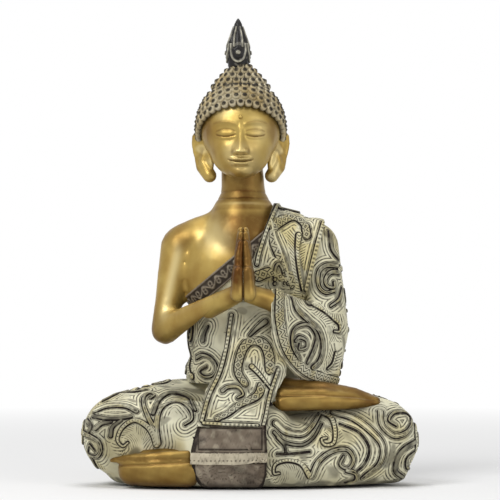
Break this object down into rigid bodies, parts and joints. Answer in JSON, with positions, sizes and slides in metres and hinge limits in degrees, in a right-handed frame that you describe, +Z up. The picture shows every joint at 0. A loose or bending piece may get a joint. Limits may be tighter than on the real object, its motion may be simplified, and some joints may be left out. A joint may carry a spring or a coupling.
{
  "type": "buddha statue",
  "caption": "Seated praying Buddha figure in gold skin with a scroll-carved ivory robe, curled hair and a flame finial, on a felt-covered base.",
  "frame": {"origin": "middle of the felt face that the figure stands on", "axes": "+Z up, the figure faces -Y, and its left hand is towards +X"},
  "size_m": [0.2007, 0.1133, 0.2795],
  "materials": {
    "gold_paint": "metallic gold paint over cast resin, rubbed with a brown and pale wash",
    "ivory_paint": "ivory paint over cast resin, dark wash in the carved lines, gold dry-brushed on the high parts",
    "hair_paint": "ivory and gold paint with dark brown tips",
    "umber_paint": "dark brown wash over ivory relief",
    "bronze_paint": "near-black bronze paint, rubbed pale on its ridges",
    "felt": "black felt",
    "fibreboard": "bare fibreboard",
    "steel": "bright drawn steel"
  },
  "bodies": {
    "root": {"torso_shell": "gold_paint", "right_arm": "gold_paint", "right_hand": "gold_paint", "left_hand": "gold_paint", "neck": "gold_paint", "head_shell": "gold_paint", "right_ear": "gold_paint", "left_ear": "gold_paint", "urna": "gold_paint", "left_foot": "gold_paint", "right_foot": "gold_paint", "lap_shell": "ivory_paint", "robe_wrap": "ivory_paint", "shoulder_sash": "ivory_paint", "robe_sleeve": "ivory_paint", "sleeve_hem": "ivory_paint", "sash_front": "ivory_paint", "hair_cap": "hair_paint", "ushnisha": "hair_paint", "chest_band": "umber_paint", "sash_tab": "umber_paint", "sash_tail": "umber_paint", "flame_finial": "bronze_paint", "felt_base": "felt", "base_plate": "fibreboard", "neck_dowel": "steel", "right_shoulder_dowel": "steel", "left_shoulder_dowel": "steel", "right_waist_dowel": "steel", "left_waist_dowel": "steel", "right_wrist_dowel": "steel", "left_wrist_dowel": "steel"}
  },
  "joints": []
}
